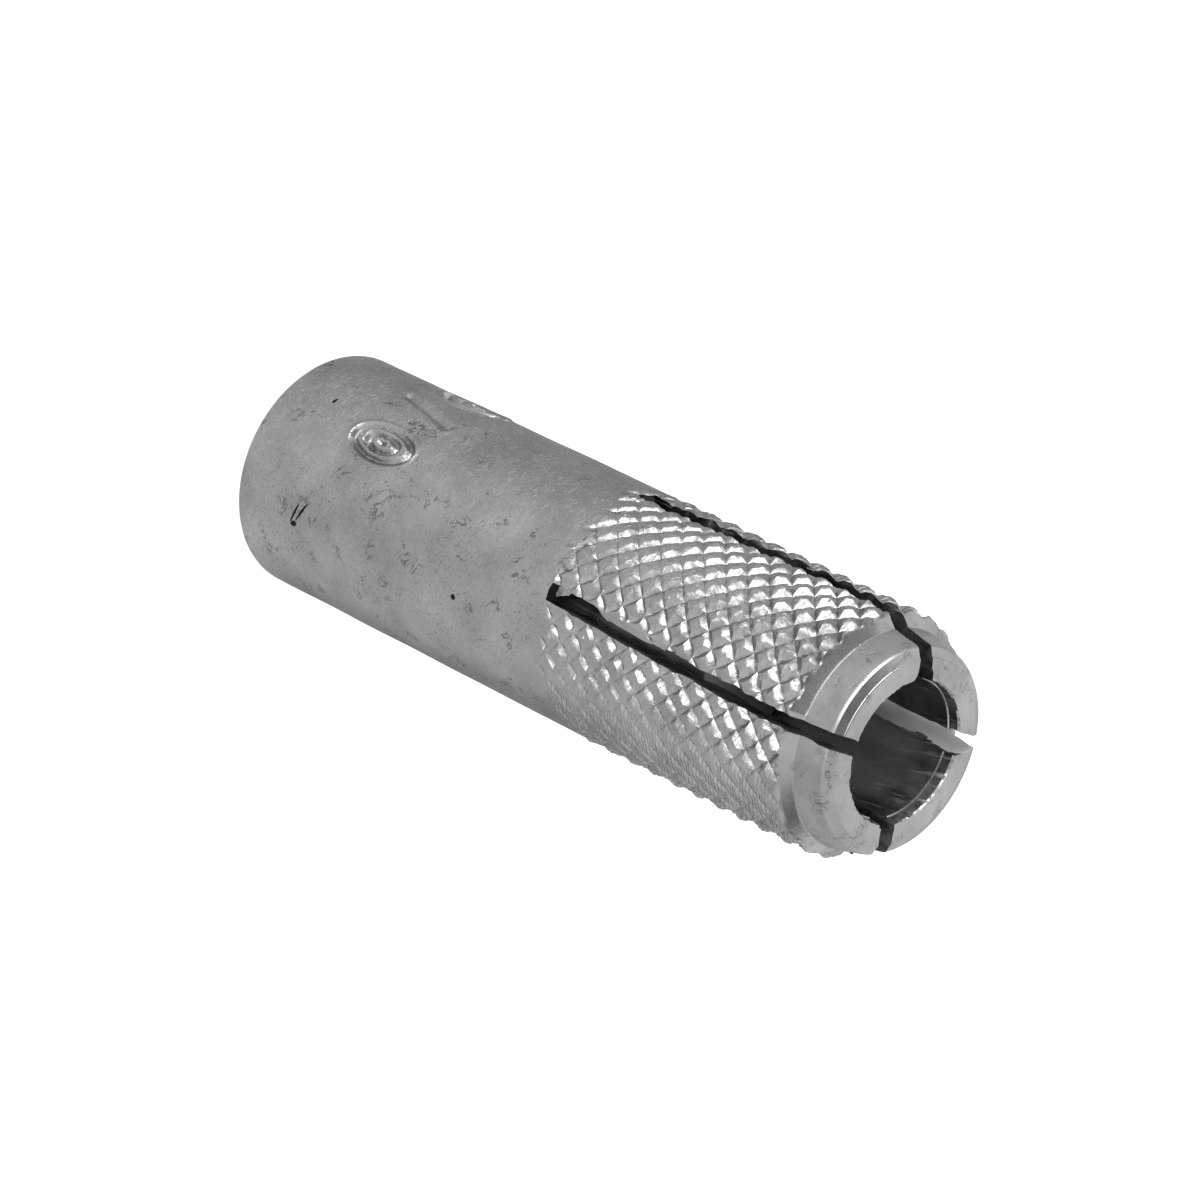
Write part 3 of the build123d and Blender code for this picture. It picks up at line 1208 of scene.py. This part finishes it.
def dark_marks(zinc, place, flat, height, plain, patches):
    """Scratches and specks of the shank, fewer on the knurl, and the nose's stains and lines."""
    spots = zinc.ramp(zinc.noise(flat, 620, detail=1), (0.57, 0.0), (0.63, 1.0))
    scratches = zinc.hairs(zinc.stretched(flat, -50, 1.4, 0.8), 700, 0.026, spots)
    specks = zinc.streaks(flat, -50, 0.22 * MM, 0.12 * MM, 0.6, 0.68)
    dark = zinc.maths("MAXIMUM", scratches, zinc.times(specks, patches))
    on_shank = zinc.maths("MAXIMUM", zinc.maths("LESS_THAN", height, SHANK_TOP), 0.3)
    stains = zinc.noise(place, 650, detail=4, roughness=0.62)
    stains = zinc.ramp(stains, (0.5, 0.0), (0.66, 1.0))
    lines = zinc.hairs(place, 700, 0.03, stains)
    marks = zinc.maths("MAXIMUM", lines, zinc.times(stains, 0.22))
    nose = zinc.maths("SUBTRACT", 1.0, plain)
    return zinc.maths("MAXIMUM", zinc.times(dark, plain, on_shank), zinc.times(marks, nose))


def knurl_ribs(zinc, place, height):
    """Fine ribs round the sleeve, where the knurl was hardly pressed."""
    ribs = zinc.rings(place, 1500.0, Distortion=1.2, **{"Detail Scale": 0.3})
    side = zinc.maths("DIVIDE", zinc.parts(place)["X"], PATTERN_RADIUS)
    above = zinc.maths("GREATER_THAN", height, RIBBED[0])
    below = zinc.maths("LESS_THAN", height, RIBBED[1])
    return zinc.times(ribs, zinc.ramp(side, *RIBBED_SIDE), zinc.times(above, below))


def matt_material(finish):
    """Dull grey sawn wall that took the plating unevenly; its light grey is partly painted light.
    """
    matt = Surface("matt_zinc", {"Metallic": 0.15, "Roughness": 0.45})
    place = matt.place()
    clouds = matt.noise(place, 420, detail=4)
    tone = matt.ramp(clouds, (0.35, 0.0), (0.65, 1.0))
    # Painted light in part: far lighter than the zinc, for the shade inside the bore
    colour = matt.mix(tone, shade(finish.zinc, 2.5), shade(finish.zinc, 3.1))
    # Painted shade: darker near the nose, where more light reaches the wall, lighter deeper in
    share = matt.maths("DIVIDE", matt.parts(place)["Z"], SLEEVE_LENGTH)
    colour = matt.mix(matt.ramp(share, *PAINTED_MATT_FADE), colour, shade(finish.zinc, 1.9))
    return matt.finish({"Base Color": colour, "Normal": matt.bump(clouds, 0.05 * MM, 0.8)})


def bare_material(finish):
    """Oily sawn and bored steel, dark, with clouds, streaks along the sleeve and painted
    highlights.
    """
    bare = Surface("bare_steel", {"Metallic": 1.0})
    place = bare.place()
    drawn_out = {"Vector": place, "Scale": (1.0, 1.0, 0.12)}
    drawn_out = bare.add("Mapping", drawn_out)["Vector"]
    lines = bare.noise(drawn_out, 1100, roughness=0.6)
    tone = bare.maths("ADD", bare.times(lines, 0.7), bare.noise(place, 300, detail=2))
    tone = bare.ramp(tone, (0.7, 0.0), (1.1, 1.0))
    colour = bare.mix(tone, shade(finish.bare, 0.4), shade(finish.bare, 1.7))
    # Painted highlight: light slanted streaks on the steel
    shine = bare.streaks(bare.around_and_up(place), 70, 3 * MM, 0.5 * MM, 0.56, 0.66)
    colour = bare.mix(bare.times(shine, 0.9), colour, grey(0.5))
    share = bare.maths("DIVIDE", bare.parts(place)["Z"], SLEEVE_LENGTH)
    # Lighter grey inside the bore, fading to dark towards the mouth
    level = bare.vector_maths("MULTIPLY", {0: place, 1: (1, 1, 0)})["Vector"]
    reach = bare.vector_maths("LENGTH", {0: level})["Value"]
    bored = bare.maths("LESS_THAN", reach, BORE_GREY_REACH)
    bore_grey = bare.times(bare.ramp(share, *BORE_GREY_DEPTH), bored)
    colour = bare.mix(bore_grey, colour, grey(0.5))
    # Near black deep down: partly oily steel, partly painted shade of the deep bore, the slots' low
    # ends and the nicks
    colour = bare.mix(bare.ramp(share, *OIL_AND_SHADE_END), grey(0.02), colour)
    grain = bare.noise(place, 4200, roughness=0.65)
    rough = bare.ramp(grain, (0.3, 0.35), (0.7, 0.55))
    relief = bare.bump(grain, 0.012 * MM, 0.9)
    return bare.finish({"Base Color": colour, "Roughness": rough, "Normal": relief})


def sleeve_materials():
    """All materials of the sleeve, in the order of their numbers."""
    names = ("zinc_plating", "bare_steel", "matt_zinc")
    if names[0] not in bpy.data.materials:
        finish = bpy.context.scene.anchor_finish
        return (zinc_material(finish), bare_material(finish), matt_material(finish))
    return tuple(bpy.data.materials[name] for name in names)


def plug_material(finish):
    """Plain turned steel with fine turning rings."""
    steel = Surface("turned_plug_steel", {"Metallic": 1.0})
    place = steel.place()
    clouds = steel.noise(place, 700)
    tone = steel.ramp(clouds, (0.3, 0.0), (0.7, 1.0))
    colour = steel.mix(tone, shade(finish.plug, 0.75), shade(finish.plug))
    rough = steel.ramp(clouds, (0.3, 0.35), (0.7, 0.5))
    relief = steel.bump(steel.rings(place, 1800.0, Distortion=1.5), 0.004 * MM, 0.5)
    return steel.finish({"Base Color": colour, "Roughness": rough, "Normal": relief})


def give_material(obj, materials):
    """Gives a piece its materials, in the order of their numbers."""
    obj.data.materials.clear()
    for material in materials:
        obj.data.materials.append(material)


# Stage


def build_world(stage):
    """Even soft light with a white surround, which camera, glossy and transmission rays see."""
    world = bpy.data.worlds.new("studio")
    bpy.context.scene.world = world
    world.use_nodes = True
    nodes = Nodes(world.node_tree)
    path = nodes.add("LightPath", {})
    seen = nodes.maths("MAXIMUM", path["Is Camera Ray"], path["Is Glossy Ray"])
    seen = nodes.maths("MAXIMUM", seen, path["Is Transmission Ray"])
    span = nodes.times(seen, stage.surround - stage.ambient)
    background = world.node_tree.nodes["Background"]
    background.inputs["Color"].default_value = grey(1.0)
    nodes.feed(background.inputs["Strength"], nodes.maths("ADD", span, stage.ambient))


def painted_floor_glow(floor):
    """Painted glow of the floor in metal at each place, beside the foot and farther away."""
    place = floor.place()
    parts = floor.parts(place)
    azimuth = floor.maths("ARCTAN2", parts["X"], floor.times(parts["Y"], -1.0))
    turn = floor.maths("ADD", floor.maths("DIVIDE", azimuth, math.tau), 0.5)
    distance = floor.vector_maths("LENGTH", {0: place})["Value"]
    glow, *farther = (
        floor.ramp(turn, *((degrees / 360 + 0.5, level) for degrees, level in row))
        for row in (FOOT_GLOW, NEAR_GLOW, FAR_GLOW)
    )
    for stops, next_glow in zip(GLOW_CHANGES, farther):
        glow = floor.mix(floor.ramp(distance, *stops), glow, next_glow)
    return glow


def build_floor():
    """Pale floor that shows white and keeps the object's shadow; in metal it is painted darker and
    glows.
    """
    below = (0, 0, -0.02 * MM)
    floor = added("floor", bpy.ops.mesh.primitive_plane_add, size=4, location=below)
    constants = {"Roughness": 0.9, "Specular IOR Level": 0.0, "Emission Color": grey(1.0)}
    pale = Surface("pale_floor", constants)
    path = pale.add("LightPath", {})
    # Painted reflection and shade: in metal the floor is darker than to the camera and glows by the
    # table
    colour = pale.mix(path["Is Glossy Ray"], grey(0.9), grey(0.55))
    painted_glow_in_metal = pale.times(path["Is Glossy Ray"], painted_floor_glow(pale))
    in_camera = pale.times(path["Is Camera Ray"], 0.75)
    glow = pale.maths("ADD", painted_glow_in_metal, in_camera)
    give_material(floor, (pale.finish({"Base Color": colour, "Emission Strength": glow}),))


def build_cards(stage):
    """Grey cards overhead, which the sloped faces of the nose mirror."""
    paper = Surface("grey_card", {"Base Color": grey(0.42), "Roughness": 0.9})
    for name, x, y, width, depth in CARDS:
        middle = (x, y, stage.card_height)
        card = added(name, bpy.ops.mesh.primitive_plane_add, size=1, location=middle)
        with edit_mode(card):
            bpy.ops.transform.resize(value=(width, depth, 1), center_override=card.location)
        card.visible_camera = False
        give_material(card, (paper.material,))


def build_lamp(stage, name, direction, width, height):
    """Soft box that shines on the sleeve from a direction."""
    direction = Vector(direction).normalized()
    aim = Vector((0, 0, stage.aim_height))
    place = aim + direction * stage.key_distance
    lamp = added(name, bpy.ops.object.light_add, type="AREA", location=place)
    lamp.data.shape = "RECTANGLE"
    lamp.data.size = width
    lamp.data.size_y = height
    lamp.data.energy = stage.key_level * math.pi * width * height
    lamp.rotation_euler = direction.to_track_quat("Z", "Y").to_euler()
    lamp.visible_camera = False


def build_camera(stage):
    """Camera at the photograph's place, rolled so that the sleeve lies across the picture."""
    ahead = Vector((0, math.cos(stage.elevation), -math.sin(stage.elevation)))
    side = Vector((1, 0, 0))
    above = side.cross(ahead)
    aim = (
        ahead * math.cos(stage.turn) * math.cos(stage.tip)
        + side * math.sin(stage.turn) * math.cos(stage.tip)
        + above * math.sin(stage.tip)
    )
    right = aim.cross(above).normalized()
    up = right.cross(aim)
    rolled_right = right * math.cos(stage.roll) + up * math.sin(stage.roll)
    rolled_up = up * math.cos(stage.roll) - right * math.sin(stage.roll)
    turn = Matrix((rolled_right, rolled_up, -aim)).transposed().to_4x4()
    place = Vector((0, 0, stage.aim_height)) - ahead * stage.camera_distance
    camera = added("photo_camera", bpy.ops.object.camera_add)
    camera.matrix_world = Matrix.Translation(place) @ turn
    camera.data.sensor_width = 36
    camera.data.lens = stage.lens
    camera.data.clip_start = 10 * MM
    bpy.context.scene.camera = camera


# Operators and panel


class ANCHOR_OT_stage(bpy.types.Operator):
    """Builds the world, the floor, the cards, the lamps and the camera"""

    bl_idname = "anchor.stage"
    bl_label = "Build stage"

    def execute(self, context):
        stage = context.scene.anchor_stage
        build_world(stage)
        build_floor()
        build_cards(stage)
        build_lamp(stage, "key_lamp", KEY_DIRECTION, stage.key_width, stage.key_height)
        build_lamp(stage, "side_lamp", SIDE_DIRECTION, stage.side_width, stage.side_height)
        build_camera(stage)
        context.scene.view_settings.view_transform = "Standard"
        return {"FINISHED"}


class ANCHOR_OT_sleeve(bpy.types.Operator):
    """Builds the finished sleeve in place of the CAD sleeve"""

    bl_idname = "anchor.sleeve"
    bl_label = "Build sleeve"

    def execute(self, context):
        sleeve = build_sleeve(context.scene)
        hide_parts("sleeve")
        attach(sleeve, "root")
        return {"FINISHED"}


class ANCHOR_OT_plug(bpy.types.Operator):
    """Builds the finished plug in place of the CAD plug"""

    bl_idname = "anchor.plug"
    bl_label = "Build plug"

    def execute(self, context):
        plug = build_plug(context.scene.anchor_plug)
        give_material(plug, (plug_material(context.scene.anchor_finish),))
        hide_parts("expander_plug")
        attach(plug, "root")
        return {"FINISHED"}


class ANCHOR_PT_panel(bpy.types.Panel):
    """Settings and operators of the drop in anchor"""

    bl_idname = "ANCHOR_PT_panel"
    bl_label = "Drop in anchor"
    bl_space_type = "VIEW_3D"
    bl_region_type = "UI"
    bl_category = "Anchor"

    def draw(self, context):
        for key in GROUPS:
            group = getattr(context.scene, key)
            box = self.layout.box()
            box.label(text=key.replace("anchor_", "").capitalize())
            for name in group.__annotations__:
                box.prop(group, name)
        for operator in (ANCHOR_OT_stage, ANCHOR_OT_sleeve, ANCHOR_OT_plug):
            self.layout.operator(operator.bl_idname)


GROUPS = {
    "anchor_sleeve": SleeveSettings,
    "anchor_knurl": KnurlSettings,
    "anchor_nose": NoseSettings,
    "anchor_bore": BoreSettings,
    "anchor_slot": SlotSettings,
    "anchor_stamp": StampSettings,
    "anchor_plug": PlugSettings,
    "anchor_finish": FinishSettings,
    "anchor_stage": StageSettings,
}

CLASSES = (ANCHOR_OT_stage, ANCHOR_OT_sleeve, ANCHOR_OT_plug, ANCHOR_PT_panel)


def register():
    for key, group in GROUPS.items():
        bpy.utils.register_class(group)
        setattr(bpy.types.Scene, key, PointerProperty(type=group))
    for item in CLASSES:
        bpy.utils.register_class(item)


def unregister():
    for item in reversed(CLASSES):
        bpy.utils.unregister_class(item)
    for key, group in reversed(GROUPS.items()):
        delattr(bpy.types.Scene, key)
        bpy.utils.unregister_class(group)


def main():
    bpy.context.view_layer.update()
    register()
    bpy.ops.anchor.stage()
    bpy.ops.anchor.sleeve()
    bpy.ops.anchor.plug()


if __name__ == "__main__":
    main()
